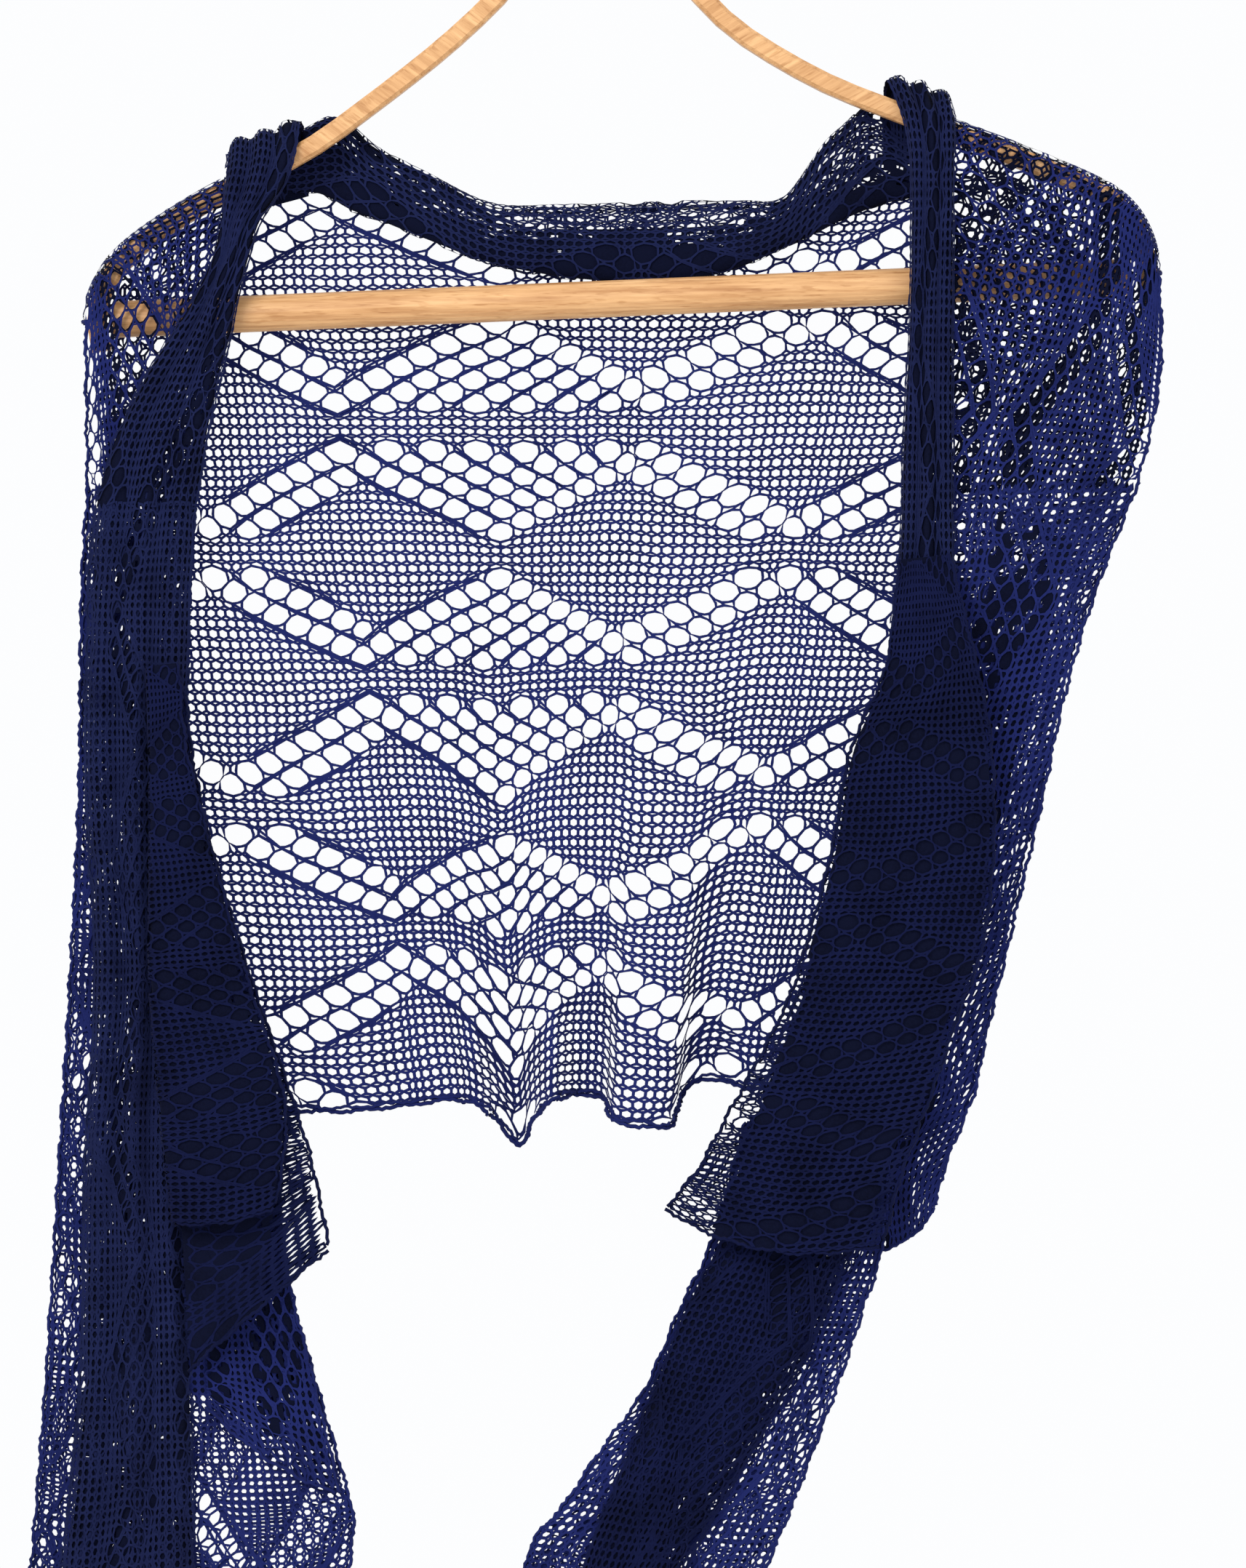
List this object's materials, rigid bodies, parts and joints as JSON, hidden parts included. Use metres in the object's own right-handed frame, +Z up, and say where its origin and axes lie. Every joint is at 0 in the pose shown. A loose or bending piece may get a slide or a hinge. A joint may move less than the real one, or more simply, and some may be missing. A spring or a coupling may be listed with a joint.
{
  "type": "lace shawl on a hanger",
  "caption": "Long knitted openwork shawl hung over a bentwood coat hanger, its ends falling at both sides in front of the open back.",
  "frame": {"origin": "the top of the hook's inside, where it bears on its rail", "axes": "+Z up, +X to the right as seen from the front, -Y towards the viewer, +Y to the back"},
  "size_m": [0.4715, 0.0603, 0.9182],
  "materials": {
    "beech_wood": "satin clear varnish",
    "steel": "satin",
    "navy_knit": "fine navy knitted net",
    "navy_knit_deep": "navy knitted net lying in several layers",
    "navy_knit_front": "navy knitted net facing the light"
  },
  "bodies": {
    "root": {"hanger_bar": "beech_wood", "hanger_arm_left": "beech_wood", "hanger_arm_right": "beech_wood", "hanger_neck": "steel", "hanger_hook": "steel", "back_panel": "navy_knit", "shoulder_left": "navy_knit", "shoulder_right": "navy_knit", "tail_left_outer": "navy_knit", "tail_left_low": "navy_knit", "tail_left_scallop": "navy_knit", "tail_right_outer": "navy_knit", "tail_right_low": "navy_knit", "flounce_left_back": "navy_knit", "collar_fold": "navy_knit_deep", "band_left": "navy_knit_deep", "band_right": "navy_knit_deep", "tail_left_mid": "navy_knit_deep", "tail_right_mid": "navy_knit_deep", "flounce_left_front": "navy_knit_front", "flounce_right": "navy_knit_front"}
  },
  "joints": []
}
